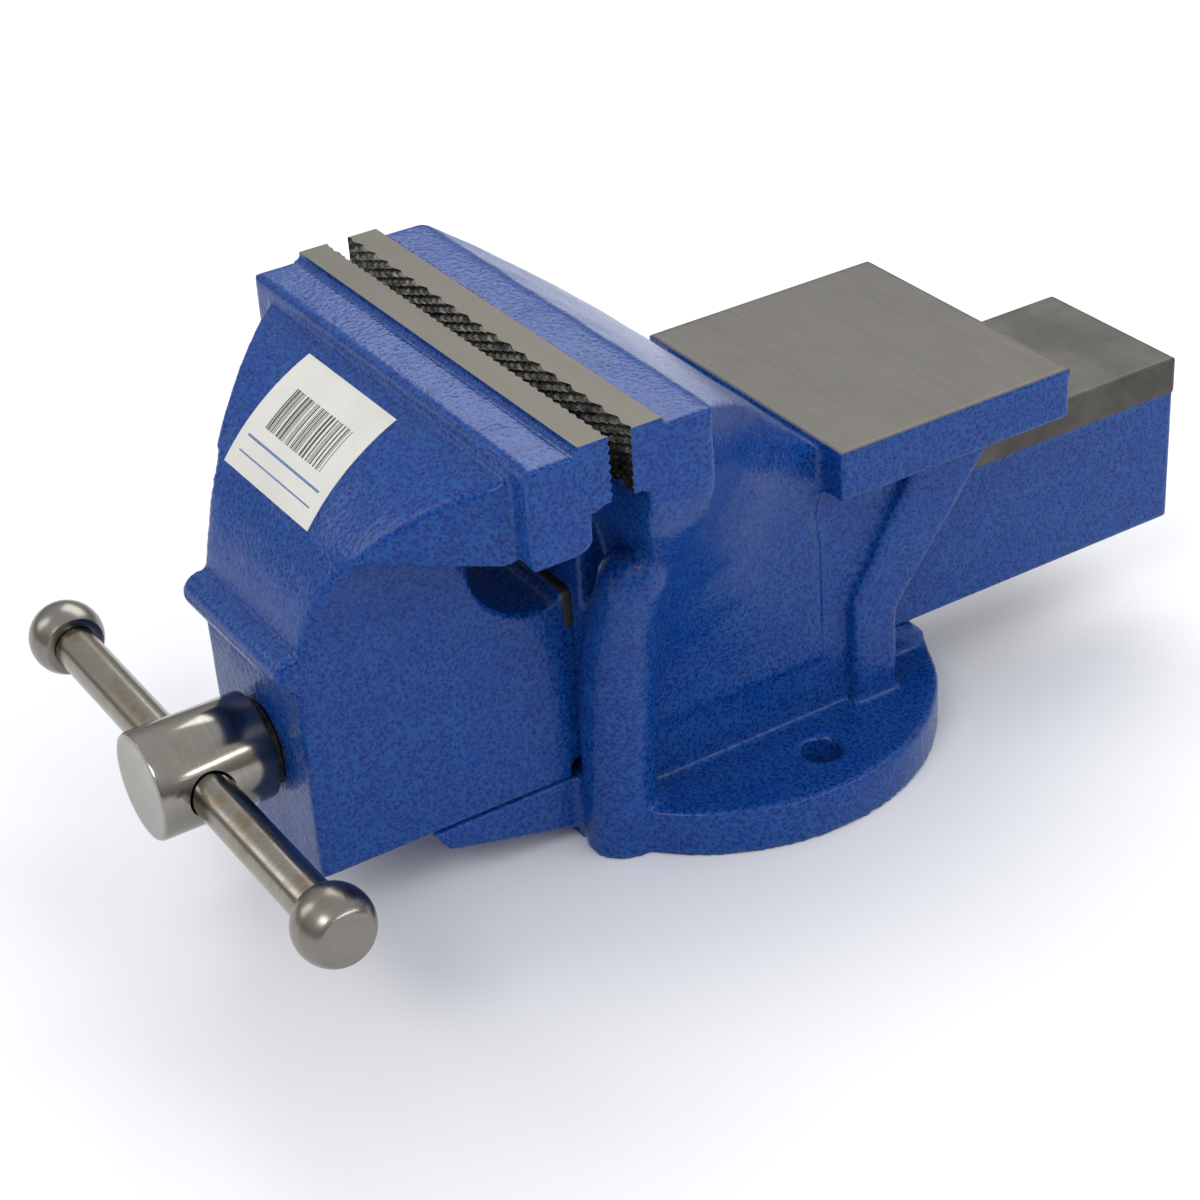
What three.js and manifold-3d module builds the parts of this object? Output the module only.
// Bench vise with a fixed round base, a rear anvil and 150 mm jaws.
// Millimetres, +Z up. The origin is the centre of the base's underside, which bolts to the bench.
// +Y points from the handle to the rear end of the slide, and +X to the right seen from the handle.
import * as THREE from 'three';
import { mergeVertices } from 'three/addons/utils/BufferGeometryUtils.js';
import Module from 'manifold-3d';

const wasm = await Module();
wasm.setup();

// ---- driving dimensions ----
const GAP = 0.3;                 // air between pieces that touch on the real vise

const JAW_HALF = 75;             // half the jaw width
const JAW_TOP = 156;             // top of the jaw plates
const JAW_PAINT_TOP = 153.7;     // painted top of both jaws, just under the plates
const PLATE_HEIGHT = 18.6;
const PLATE_DEPTH = 9.4;
const FIXED_FACE_Y = -68;        // gripping face of the fixed plate
const JAW_GAP = 6.3;             // opening of the jaws as drawn
const JAW_BLOCK_DEPTH = 24.3;    // plate and jaw bar together

const BASE_RADIUS = 70;
const BASE_HEIGHT = 15;
const BASE_FRONT_Y = -64;
const BASE_HOLE_RADIUS = 6;
const BASE_HOLE_X = 51;
const BASE_HOLE_Y = 5.5;

const WALL_HALF = 35;            // outer face of the side walls
const BODY_FRONT_Y = -63;
const BODY_REAR_Y = 43;
const SLOT_HALF = 29.7;          // passage for the slide
const SLOT_BOTTOM = 27.5;
const SLOT_TOP = 85.5;
const FRAME_HALF = 39.5;         // raised rear frame on each wall

const ANVIL_HALF = 48.7;
const ANVIL_FRONT_Y = 16.2;
const ANVIL_REAR_Y = 99.6;
const ANVIL_TOP = 108.5;
const ANVIL_BOTTOM = 92.3;

const SLIDE_HALF = 29.2;         // machined guide strips
const SLIDE_PAINT_HALF = 28.7;
const SLIDE_TOP = 85;
const STRIP_BOTTOM = 73.5;
const SLIDE_BOTTOM = 28;
const SLIDE_FRONT_Y = -66;
const SLIDE_REAR_Y = 159.6;
const CHANNEL_HALF = 20;
const CHANNEL_TOP = 74;

const COLUMN_HALF = 29;
const COLUMN_FRONT_Y = -146.8;
const COLUMN_BOTTOM = 23;
const FRONT_WALL = 15;           // thickness of the column's front wall
const FLARE_RADIUS = 72.1;       // rounded front of the moving jaw
const FLARE_CENTRE = [-74.7, 79.8];
const CORBEL_BOTTOM = 123;

const AXIS_Z = 54;               // screw axis
const HEAD_RADIUS = 15.7;
const HEAD_FRONT_Y = -183.8;
const SCREW_RADIUS = 11;
const SCREW_TIP_Y = 152;
const BAR_Y = -169.3;
const BAR_RADIUS = 6.5;
const BAR_HALF = 87;
const KNOB_RADIUS = 11.1;
const KNOB_CENTRE = 84.5;
const KNOB_INNER = 6.8;          // centre of the ball to its inner flat
const KNOB_OUTER = 7.7;          // centre of the ball to its outer flat

const NUT_HALF = 16;
const NUT_FRONT_Y = -40;
const NUT_REAR_Y = 0;
const NUT_TOP = 71.5;
const NUT_BOLT_RADIUS = 5;

const PLATE_SCREW_X = 50;
const PLATE_SCREW_Z = 144.2;
const PLATE_SCREW_RADIUS = 3;
const PLATE_SCREW_HEAD = 4.6;
const PLATE_SCREW_LENGTH = 20;

const LABEL_LEFT = -33;
const LABEL_RIGHT = 16.5;
const LABEL_THICKNESS = 0.5;

// ---- colours ----
const paint = new THREE.MeshStandardMaterial({ color: 0x24489a, roughness: 0.35, metalness: 0.2 });
const plateSteel = new THREE.MeshStandardMaterial({ color: 0x6c675e, roughness: 0.45, metalness: 0.9 });
const brightSteel = new THREE.MeshStandardMaterial({ color: 0xb4b0a8, roughness: 0.3, metalness: 1 });
const darkSteel = new THREE.MeshStandardMaterial({ color: 0x3a3835, roughness: 0.5, metalness: 0.8 });
const springSteel = new THREE.MeshStandardMaterial({ color: 0x55524d, roughness: 0.4, metalness: 0.9 });
const nutIron = new THREE.MeshStandardMaterial({ color: 0x5a5852, roughness: 0.7, metalness: 0.7 });
const paper = new THREE.MeshStandardMaterial({ color: 0xe6e3da, roughness: 0.7, metalness: 0 });

// ---- helpers ----
function solid(geometry) {
  const bare = geometry.index ? geometry.clone() : geometry;
  bare.deleteAttribute('normal');
  bare.deleteAttribute('uv');
  const merged = mergeVertices(bare, 1e-4);
  return new wasm.Manifold(new wasm.Mesh({
    numProp: 3,
    vertProperties: new Float32Array(merged.attributes.position.array),
    triVerts: new Uint32Array(merged.index.array),
  }));
}

function join(...solids) {
  return solids.reduce((sum, next) => sum.add(next));
}

function toMesh(manifold, name, material) {
  const result = manifold.getMesh();
  const geometry = new THREE.BufferGeometry();
  geometry.setAttribute('position', new THREE.BufferAttribute(result.vertProperties, 3));
  geometry.setIndex(new THREE.BufferAttribute(result.triVerts, 1));
  geometry.computeVertexNormals();
  const mesh = new THREE.Mesh(geometry, material);
  mesh.name = name;
  return mesh;
}

function block([x0, x1], [y0, y1], [z0, z1]) {
  const geometry = new THREE.BoxGeometry(x1 - x0, y1 - y0, z1 - z0);
  geometry.translate((x0 + x1) / 2, (y0 + y1) / 2, (z0 + z1) / 2);
  return solid(geometry);
}

// Outline given as [y, z] points, extruded from x0 to x1.
function alongX(points, x0, x1) {
  const shape = new THREE.Shape(points.map(([y, z]) => new THREE.Vector2(y, z)));
  const geometry = new THREE.ExtrudeGeometry(shape, { depth: x1 - x0, bevelEnabled: false });
  const turn = new THREE.Matrix4().makeBasis(
    new THREE.Vector3(0, 1, 0),
    new THREE.Vector3(0, 0, 1),
    new THREE.Vector3(1, 0, 0),
  );
  geometry.applyMatrix4(turn);
  geometry.translate(x0, 0, 0);
  return solid(geometry);
}

// Outline given as [x, y] points, extruded from z0 to z1.
function alongZ(points, z0, z1) {
  const shape = new THREE.Shape(points.map(([x, y]) => new THREE.Vector2(x, y)));
  const geometry = new THREE.ExtrudeGeometry(shape, { depth: z1 - z0, bevelEnabled: false });
  geometry.translate(0, 0, z0);
  return solid(geometry);
}

// Round bar along 'x', 'y' or 'z', from start to end; centre holds the two other coordinates.
function rod(axis, start, end, radius, centre, sides = 32) {
  const geometry = new THREE.CylinderGeometry(radius, radius, end - start, sides);
  const middle = (start + end) / 2;
  if (axis === 'x') {
    geometry.rotateZ(-Math.PI / 2);
    geometry.translate(middle, centre[0], centre[1]);
  } else if (axis === 'y') {
    geometry.translate(centre[0], middle, centre[1]);
  } else {
    geometry.rotateX(Math.PI / 2);
    geometry.translate(centre[0], centre[1], middle);
  }
  return solid(geometry);
}

// Turned shape about the Y axis through (x, z); the profile is [radius, y] from the axis and back.
function turned(profile, x, z, sides = 40) {
  const geometry = new THREE.LatheGeometry(profile.map(([r, y]) => new THREE.Vector2(r, y)), sides);
  geometry.translate(x, 0, z);
  return solid(geometry);
}

// Skin through level rings; each ring is { z, points: [[x, y], ...] } going round the same way.
function loft(rings) {
  const count = rings[0].points.length;
  const positions = rings.flatMap(({ z, points }) => points.flatMap(([x, y]) => [x, y, z]));
  const index = [];
  for (let ring = 0; ring < rings.length - 1; ring += 1) {
    for (let i = 0; i < count; i += 1) {
      const a = ring * count + i;
      const b = ring * count + (i + 1) % count;
      index.push(a, b, b + count, a, b + count, a + count);
    }
  }
  const top = (rings.length - 1) * count;
  const cap = THREE.ShapeUtils.triangulateShape(
    rings[0].points.map(([x, y]) => new THREE.Vector2(x, y)),
    [],
  );
  for (const [a, b, c] of cap) {
    index.push(a, c, b);
    index.push(top + a, top + b, top + c);
  }
  const geometry = new THREE.BufferGeometry();
  geometry.setAttribute('position', new THREE.Float32BufferAttribute(positions, 3));
  geometry.setIndex(index);
  return solid(geometry);
}

function arc([cy, cz], radius, from, to, steps) {
  return Array.from({ length: steps + 1 }, (_, i) => {
    const angle = THREE.MathUtils.degToRad(from + (to - from) * i / steps);
    return [cy + radius * Math.cos(angle), cz + radius * Math.sin(angle)];
  });
}

// Points on the right-hand side, closed by their mirror images.
function mirrored(points) {
  return [...points, ...points.toReversed().map(([x, y]) => [-x, y])];
}

// y of the moving jaw's rounded front at height z
function flareY(z) {
  return FLARE_CENTRE[0] - Math.sqrt(FLARE_RADIUS ** 2 - (z - FLARE_CENTRE[1]) ** 2);
}

// ---- jaw plates and their screws ----
const PLATE_BOTTOM = JAW_TOP - PLATE_HEIGHT;
const MOVING_FACE_Y = FIXED_FACE_Y - JAW_GAP;

// facing is +1 for the fixed jaw, whose screws go in along +Y, and -1 for the moving jaw
function jawScrewProfile(faceY, facing, clearance) {
  const y = (depth) => faceY + facing * depth;
  const head = PLATE_SCREW_HEAD + clearance;
  const shank = PLATE_SCREW_RADIUS + clearance;
  const rise = clearance === 0 ? 1.2 : -1;
  const end = PLATE_SCREW_LENGTH + clearance * 3;
  const points = [[0, y(rise)], [head, y(rise)], [head, y(2)], [shank, y(3.6)], [shank, y(end)], [0, y(end)]];
  return facing > 0 ? points : points.toReversed();
}

function jawScrewHoles(faceY, facing) {
  return [-1, 1].map((side) => turned(
    jawScrewProfile(faceY, facing, GAP),
    side * PLATE_SCREW_X,
    PLATE_SCREW_Z,
    24,
  ));
}

function jawPlate(faceY, facing, name) {
  const back = faceY + facing * PLATE_DEPTH;
  let plate = block([-JAW_HALF, JAW_HALF], [Math.min(faceY, back), Math.max(faceY, back)], [PLATE_BOTTOM, JAW_TOP]);
  for (const hole of jawScrewHoles(faceY, facing)) plate = plate.subtract(hole);
  return toMesh(plate, name, plateSteel);
}

function jawScrew(faceY, facing, side, name) {
  const body = turned(jawScrewProfile(faceY, facing, 0), side * PLATE_SCREW_X, PLATE_SCREW_Z, 24);
  const slotY = faceY + facing * 1.2;
  const slot = block(
    [side * PLATE_SCREW_X - 0.6, side * PLATE_SCREW_X + 0.6],
    [slotY - 1.4, slotY + 1.4],
    [PLATE_SCREW_Z - 9, PLATE_SCREW_Z + 9],
  );
  return toMesh(body.subtract(slot), name, darkSteel);
}

// ---- fixed body: base, walls, fixed jaw and anvil in one casting ----
const FIXED_REBATE_Y = FIXED_FACE_Y + PLATE_DEPTH + GAP;
const JAW_BAR_REAR_Y = FIXED_FACE_Y + JAW_BLOCK_DEPTH;
const JAW_FOOT = 130;            // the webs below are almost as wide as the jaw here

// [y, z] line on each side where the hump behind the jaw meets the webs
const HUMP_FOOT = [
  [JAW_BAR_REAR_Y, 136],
  [-30.5, 128.3],
  [-18.5, 122.4],
  [2, 113.8],
  [10, 99.5],
  [ANVIL_FRONT_Y + 1, 89],
];

function fixedJaw() {
  const bar = alongX([
    [BODY_FRONT_Y, JAW_FOOT],
    [JAW_BAR_REAR_Y, JAW_FOOT],
    [JAW_BAR_REAR_Y, JAW_PAINT_TOP],
    [FIXED_REBATE_Y, JAW_PAINT_TOP],
    [FIXED_REBATE_Y, PLATE_BOTTOM - GAP],
    [BODY_FRONT_Y, PLATE_BOTTOM - GAP],
  ], -JAW_HALF, JAW_HALF);
  const back = alongX([
    [JAW_BAR_REAR_Y - 4, HUMP_FOOT[0][1] - 1],
    ...HUMP_FOOT.map(([y, z]) => [y, z - 1]),
    ...arc([-170, -61.9], 250.1, 41.9, 59.4, 7),
    [JAW_BAR_REAR_Y - 4, JAW_PAINT_TOP],
  ], -JAW_HALF, JAW_HALF);
  const plan = alongZ(mirrored([
    [JAW_HALF, JAW_BAR_REAR_Y - 3],
    [JAW_HALF, JAW_BAR_REAR_Y],
    [69.6, -38.5],
    [60.8, -28.7],
    [51.7, -18.5],
    [44.5, -9],
    [40, 0],
    [38, 18],
  ]), SLOT_TOP - 1, JAW_TOP);
  return join(bar, back.intersect(plan));
}

// Webs that lean in from the jaw's ends to the walls; lower down their front edge draws back behind the ribs.
function leaningWebs() {
  const foot = 40;
  const head = 136;
  // y, then the half width under the jaw and, for the shape lower down, its smoother counterpart
  const rows = (frontY) => [
    [frontY, JAW_HALF, 72],
    [JAW_BAR_REAR_Y, JAW_HALF, 67.5],
    [-38.5, 69.6, 64.6],
    [-28.7, 61.2, 58.5],
    [-18.5, 52.9, 52.9],
    [-9, 46.5, 47.5],
    [0, 41.5, 43],
    [ANVIL_FRONT_Y, 39, 39],
  ];
  const rings = [foot, 52, 64, 76, 88, 98, 106, 113, 120, 127, 131, head + 1].map((z) => {
    const spread = THREE.MathUtils.smoothstep(z, foot, head);
    const blend = THREE.MathUtils.smoothstep(z, 98, 128);
    const frontY = THREE.MathUtils.lerp(-54, BODY_FRONT_Y, THREE.MathUtils.smoothstep(z, 98, 127));
    return {
      z,
      points: mirrored(rows(frontY).map(([y, upper, lower]) => {
        const half = THREE.MathUtils.lerp(lower, upper, blend);
        return [THREE.MathUtils.lerp(WALL_HALF, half, spread), y];
      })),
    };
  });
  const side = alongX([
    [BODY_FRONT_Y, foot + 1],
    [ANVIL_FRONT_Y + 1, foot + 1],
    ...HUMP_FOOT.toReversed(),
    [BODY_FRONT_Y, head],
  ], -JAW_HALF, JAW_HALF);
  return loft(rings).intersect(side);
}

// Rounded rib up each front corner of the body, upright at its foot, leaning out to a domed top.
function cornerRib(side) {
  const straight = 30;
  const domeZ = 97;
  const sides = 26;
  const ring = (z, height, shrink) => {
    const lean = Math.max(0, (height - straight) / (domeZ - straight)) ** 2.1;
    const radius = THREE.MathUtils.lerp(10.8, 10.1, lean) * shrink;
    const x = THREE.MathUtils.lerp(35.3, 52.4, lean);
    const y = THREE.MathUtils.lerp(-54.6, -56.5, lean);
    const points = Array.from({ length: sides }, (_, i) => {
      const angle = 2 * Math.PI * i / sides;
      return [x + radius * Math.cos(angle), y + radius * Math.sin(angle)];
    });
    return { z, points };
  };
  const post = [-1, straight, 42, 54, 64, 73, 82, 90, domeZ].map((z) => ring(z, z, 1));
  const dome = [18, 36, 54, 70, 84].map((degrees) => {
    const angle = THREE.MathUtils.degToRad(degrees);
    return ring(domeZ + 10.1 * Math.sin(angle), domeZ, Math.cos(angle));
  });
  const rib = loft([...post, ...dome]);
  return side > 0 ? rib : rib.mirror([1, 0, 0]);
}

function baseAndWalls() {
  const disc = rod('z', 0, BASE_HEIGHT, BASE_RADIUS, [0, 0], 72)
    .intersect(block([-80, 80], [BASE_FRONT_Y, 80], [-1, 20]));
  const walls = alongX([
    [BODY_FRONT_Y, 0],
    [BODY_REAR_Y, 0],
    [BODY_REAR_Y, 43],
    [83, ANVIL_BOTTOM + 1],
    [ANVIL_FRONT_Y, ANVIL_BOTTOM + 1],
    [-12, 118],
    [BODY_FRONT_Y, 118],
  ], -WALL_HALF, WALL_HALF);
  const frame = alongX([
    [27, 10],
    [BODY_REAR_Y, 10],
    [BODY_REAR_Y, 43],
    [83, ANVIL_BOTTOM + 1],
    [52, ANVIL_BOTTOM + 1],
    [27, 51],
  ], -FRAME_HALF, FRAME_HALF);
  const tongue = alongX([
    [-112, SLOT_BOTTOM - 5],
    [-107.5, BASE_HEIGHT],
    [BODY_FRONT_Y, 4],
    [BASE_FRONT_Y + 10, 4],
    [BASE_FRONT_Y + 10, SLOT_BOTTOM - 5],
  ], -COLUMN_HALF, COLUMN_HALF);
  const rearFoot = alongX([
    [40, 5],
    [64, 5],
    [65, 19],
    [60, 24],
    [40, SLOT_BOTTOM],
  ], -25, 25);
  return join(disc, walls, frame, tongue, rearFoot);
}

function fixedBody() {
  const anvil = block([-ANVIL_HALF, ANVIL_HALF], [ANVIL_FRONT_Y, ANVIL_REAR_Y], [ANVIL_BOTTOM, ANVIL_TOP]);
  let body = join(baseAndWalls(), leaningWebs(), fixedJaw(), anvil);
  for (const side of [-1, 1]) body = body.add(cornerRib(side));
  body = body.intersect(block([-80, 80], [-120, 120], [0, JAW_TOP]));
  const slot = block([-SLOT_HALF, SLOT_HALF], [-115, 105], [SLOT_BOTTOM, SLOT_TOP]);
  const slotFront = block([-SLOT_HALF, SLOT_HALF], [-115, -55], [SLOT_BOTTOM - 5, SLOT_TOP]);
  body = body.subtract(slot).subtract(slotFront);
  for (const side of [-1, 1]) {
    body = body.subtract(rod('z', -1, 20, BASE_HOLE_RADIUS, [side * BASE_HOLE_X, BASE_HOLE_Y], 24));
  }
  const boltY = (NUT_FRONT_Y + NUT_REAR_Y) / 2;
  body = body.subtract(rod('z', -1, 40, NUT_BOLT_RADIUS + GAP, [0, boltY], 24));
  body = body.subtract(rod('z', -1, 13, 11.5, [0, boltY], 32));
  for (const hole of jawScrewHoles(FIXED_FACE_Y, 1)) body = body.subtract(hole);
  return toMesh(body, 'fixed_body', paint);
}

// ---- spindle nut and the bolt that holds it to the base ----
const NUT_BOLT_Y = (NUT_FRONT_Y + NUT_REAR_Y) / 2;

function spindleNut() {
  const body = alongX([
    [NUT_FRONT_Y, SLOT_BOTTOM + GAP],
    [NUT_REAR_Y, SLOT_BOTTOM + GAP],
    [NUT_REAR_Y, NUT_TOP - 4],
    [NUT_REAR_Y - 4, NUT_TOP],
    [NUT_FRONT_Y + 4, NUT_TOP],
    [NUT_FRONT_Y, NUT_TOP - 4],
  ], -NUT_HALF, NUT_HALF);
  const thread = rod('y', NUT_FRONT_Y - 1, NUT_REAR_Y + 1, SCREW_RADIUS + 0.4, [0, AXIS_Z]);
  const tapped = rod('z', 20, 40, NUT_BOLT_RADIUS + GAP, [0, NUT_BOLT_Y], 24);
  return toMesh(body.subtract(thread).subtract(tapped), 'spindle_nut', nutIron);
}

function nutBolt() {
  const shank = rod('z', 5, 38, NUT_BOLT_RADIUS, [0, NUT_BOLT_Y], 24);
  const head = rod('z', 2, 8.5, 9, [0, NUT_BOLT_Y], 6);
  return toMesh(shank.add(head), 'nut_bolt', darkSteel);
}

function nutBoltWasher() {
  const ring = rod('z', 8.8, 11.8, 10.5, [0, NUT_BOLT_Y], 32);
  const hole = rod('z', 8, 13, NUT_BOLT_RADIUS + GAP, [0, NUT_BOLT_Y], 24);
  return toMesh(ring.subtract(hole), 'nut_bolt_washer', darkSteel);
}

// ---- moving jaw and slide in one casting ----
const MOVING_REBATE_Y = MOVING_FACE_Y - PLATE_DEPTH - GAP;
const BAR_FRONT_Y = MOVING_FACE_Y - JAW_BLOCK_DEPTH;
const SCOOP_CENTRE = [-72, 103];
const SCOOP_RADIUS = 21.5;
const FLARE_TOP_DEGREES = 109.5;

function column() {
  return alongX([
    [COLUMN_FRONT_Y, COLUMN_BOTTOM],
    [SLIDE_FRONT_Y, COLUMN_BOTTOM],
    ...arc(SCOOP_CENTRE, SCOOP_RADIUS, 286.2, 180, 8),
    [SCOOP_CENTRE[0] - SCOOP_RADIUS, 130],
    [BAR_FRONT_Y + 2, 146],
    ...arc(FLARE_CENTRE, FLARE_RADIUS, FLARE_TOP_DEGREES, 180, 12),
  ], -COLUMN_HALF, COLUMN_HALF);
}

// Wide shelf under the jaw bar, tapering in plan to the column.
function corbel() {
  const front = alongX([
    [BAR_FRONT_Y + 2, CORBEL_BOTTOM],
    [BAR_FRONT_Y + 2, 146],
    ...arc(FLARE_CENTRE, FLARE_RADIUS, FLARE_TOP_DEGREES, 143.2, 7),
  ], -JAW_HALF, JAW_HALF);
  const plan = alongZ(mirrored([
    [65, -90],
    [65, BAR_FRONT_Y - 3],
    [COLUMN_HALF, -146],
  ].toReversed()), CORBEL_BOTTOM - 1, JAW_TOP);
  return front.intersect(plan);
}

// Cove between the shelf and the column.
function neck() {
  const rings = [92, 98, 104, 110, 116, CORBEL_BOTTOM + 0.5].map((z) => {
    const flare = 10.7 * ((z - 92) / 31) ** 2;
    return {
      z,
      points: mirrored([
        [COLUMN_HALF + flare, flareY(z) + 0.2],
        [COLUMN_HALF + flare * 0.8, -118],
        [COLUMN_HALF + flare * 0.6, BAR_FRONT_Y + 2],
      ]),
    };
  });
  return loft(rings);
}

function movingJaw() {
  const bar = alongX([
    [BAR_FRONT_Y, 125],
    [MOVING_FACE_Y - 10.2, 125],
    ...arc([MOVING_FACE_Y - 10.2, 129], 4, 270, 360, 4),
    [MOVING_FACE_Y - 6.2, PLATE_BOTTOM - GAP],
    [MOVING_REBATE_Y, PLATE_BOTTOM - GAP],
    [MOVING_REBATE_Y, JAW_PAINT_TOP],
    [BAR_FRONT_Y, JAW_PAINT_TOP],
  ], -JAW_HALF, JAW_HALF);
  const bead = rod('x', -COLUMN_HALF - 0.4, COLUMN_HALF + 0.4, 5.5, [COLUMN_FRONT_Y - 0.2, 90], 20);
  const strips = block([-SLIDE_HALF, SLIDE_HALF], [SLIDE_FRONT_Y, SLIDE_REAR_Y], [STRIP_BOTTOM, SLIDE_TOP]);
  const rail = block(
    [-SLIDE_PAINT_HALF, SLIDE_PAINT_HALF],
    [SLIDE_FRONT_Y - 1, SLIDE_REAR_Y],
    [SLIDE_BOTTOM, STRIP_BOTTOM + 1],
  );
  let body = join(column(), corbel(), neck(), bar, bead, strips, rail);
  const channelFront = COLUMN_FRONT_Y + FRONT_WALL;
  body = body.subtract(block(
    [-CHANNEL_HALF, CHANNEL_HALF],
    [channelFront, SLIDE_REAR_Y + 1],
    [COLUMN_BOTTOM - 1, CHANNEL_TOP],
  ));
  body = body.subtract(rod('y', COLUMN_FRONT_Y - 8, channelFront + 1, SCREW_RADIUS + 0.5, [0, AXIS_Z]));
  for (const hole of jawScrewHoles(MOVING_FACE_Y, -1)) body = body.subtract(hole);
  return toMesh(body, 'moving_jaw', paint);
}

// ---- sticker on the rounded front ----
function label() {
  const inner = FLARE_RADIUS + GAP;
  const outer = inner + LABEL_THICKNESS;
  const strip = alongX([
    ...arc(FLARE_CENTRE, outer, 113.3, 143.2, 8),
    ...arc(FLARE_CENTRE, inner, 143.2, 113.3, 8),
  ], LABEL_LEFT, LABEL_RIGHT);
  return toMesh(strip, 'barcode_label', paper);
}

// ---- spindle and what holds it in the moving jaw ----
const WASHER_FRONT = COLUMN_FRONT_Y - 2.2;
const SPRING_START = COLUMN_FRONT_Y + FRONT_WALL + GAP;
const SPRING_LENGTH = 21;
const SPRING_WASHER_Y = SPRING_START + SPRING_LENGTH + GAP;
const PIN_Y = SPRING_WASHER_Y + 3 + GAP + 2;

function spindle() {
  const shoulder = WASHER_FRONT - GAP;
  const body = turned([
    [0, HEAD_FRONT_Y],
    [HEAD_RADIUS - 0.8, HEAD_FRONT_Y],
    [HEAD_RADIUS, HEAD_FRONT_Y + 0.8],
    [HEAD_RADIUS, shoulder],
    [SCREW_RADIUS, shoulder],
    [SCREW_RADIUS, SCREW_TIP_Y - 3],
    [SCREW_RADIUS - 3, SCREW_TIP_Y],
    [0, SCREW_TIP_Y],
  ], 0, AXIS_Z, 48);
  const cross = rod('x', -20, 20, BAR_RADIUS + 0.4, [BAR_Y, AXIS_Z]);
  const pinHole = rod('z', AXIS_Z - 20, AXIS_Z + 20, 1.9, [0, PIN_Y], 16);
  return toMesh(body.subtract(cross).subtract(pinHole), 'spindle', brightSteel);
}

function ring(start, end, outer, inner, name, material) {
  const body = rod('y', start, end, outer, [0, AXIS_Z], 40);
  const hole = rod('y', start - 1, end + 1, inner, [0, AXIS_Z], 40);
  return toMesh(body.subtract(hole), name, material);
}

class Helix extends THREE.Curve {
  getPoint(t) {
    const turn = t * 5 * 2 * Math.PI;
    const wire = 1.3;
    const y = SPRING_START + wire + t * (SPRING_LENGTH - 2 * wire);
    return new THREE.Vector3(15 * Math.cos(turn), y, AXIS_Z + 15 * Math.sin(turn));
  }
}

function spring() {
  const wire = new THREE.Shape();
  wire.absarc(0, 0, 1.25, 0, 2 * Math.PI);
  const geometry = new THREE.ExtrudeGeometry(wire, {
    extrudePath: new Helix(),
    steps: 80,
    curveSegments: 3,
    bevelEnabled: false,
  });
  return toMesh(solid(geometry), 'spindle_spring', springSteel);
}

function splitPin() {
  const shank = rod('z', AXIS_Z - 15.5, AXIS_Z + 14, 1.5, [0, PIN_Y], 12);
  const eye = new THREE.TorusGeometry(2.2, 1.1, 8, 16);
  eye.rotateX(Math.PI / 2);
  eye.translate(0, PIN_Y, AXIS_Z + 15.6);
  return toMesh(shank.add(solid(eye)), 'split_pin', darkSteel);
}

// ---- tommy bar with a ball at each end ----
function tommyBar() {
  return toMesh(rod('x', -BAR_HALF, BAR_HALF, BAR_RADIUS, [BAR_Y, AXIS_Z], 32), 'tommy_bar', brightSteel);
}

function knob(side, name) {
  const from = Math.asin(KNOB_OUTER / KNOB_RADIUS);
  const to = -Math.asin(KNOB_INNER / KNOB_RADIUS);
  const steps = 12;
  const ball = Array.from({ length: steps + 1 }, (_, i) => {
    const angle = to + (from - to) * i / steps;
    return new THREE.Vector2(KNOB_RADIUS * Math.cos(angle), KNOB_RADIUS * Math.sin(angle));
  });
  const socket = BAR_HALF + GAP - KNOB_CENTRE;
  const geometry = new THREE.LatheGeometry([
    new THREE.Vector2(BAR_RADIUS + GAP, -KNOB_INNER),
    ...ball,
    new THREE.Vector2(0, KNOB_OUTER),
    new THREE.Vector2(0, socket),
    new THREE.Vector2(BAR_RADIUS + GAP, socket),
    new THREE.Vector2(BAR_RADIUS + GAP, -KNOB_INNER),
  ], 36);
  geometry.rotateZ(-side * Math.PI / 2);
  geometry.translate(side * KNOB_CENTRE, BAR_Y, AXIS_Z);
  return toMesh(solid(geometry), name, brightSteel);
}

// ---- assembly ----
const vise = new THREE.Group();
vise.add(
  fixedBody(),
  jawPlate(FIXED_FACE_Y, 1, 'fixed_jaw_plate'),
  jawScrew(FIXED_FACE_Y, 1, -1, 'fixed_jaw_screw_left'),
  jawScrew(FIXED_FACE_Y, 1, 1, 'fixed_jaw_screw_right'),
  spindleNut(),
  nutBolt(),
  nutBoltWasher(),
  movingJaw(),
  jawPlate(MOVING_FACE_Y, -1, 'moving_jaw_plate'),
  jawScrew(MOVING_FACE_Y, -1, -1, 'moving_jaw_screw_left'),
  jawScrew(MOVING_FACE_Y, -1, 1, 'moving_jaw_screw_right'),
  label(),
  spindle(),
  ring(WASHER_FRONT, COLUMN_FRONT_Y - GAP, 12.8, SCREW_RADIUS + GAP, 'thrust_washer', darkSteel),
  spring(),
  ring(SPRING_WASHER_Y, SPRING_WASHER_Y + 3, 17, SCREW_RADIUS + GAP, 'spring_washer', darkSteel),
  splitPin(),
  tommyBar(),
  knob(-1, 'bar_knob_left'),
  knob(1, 'bar_knob_right'),
);

export default vise;
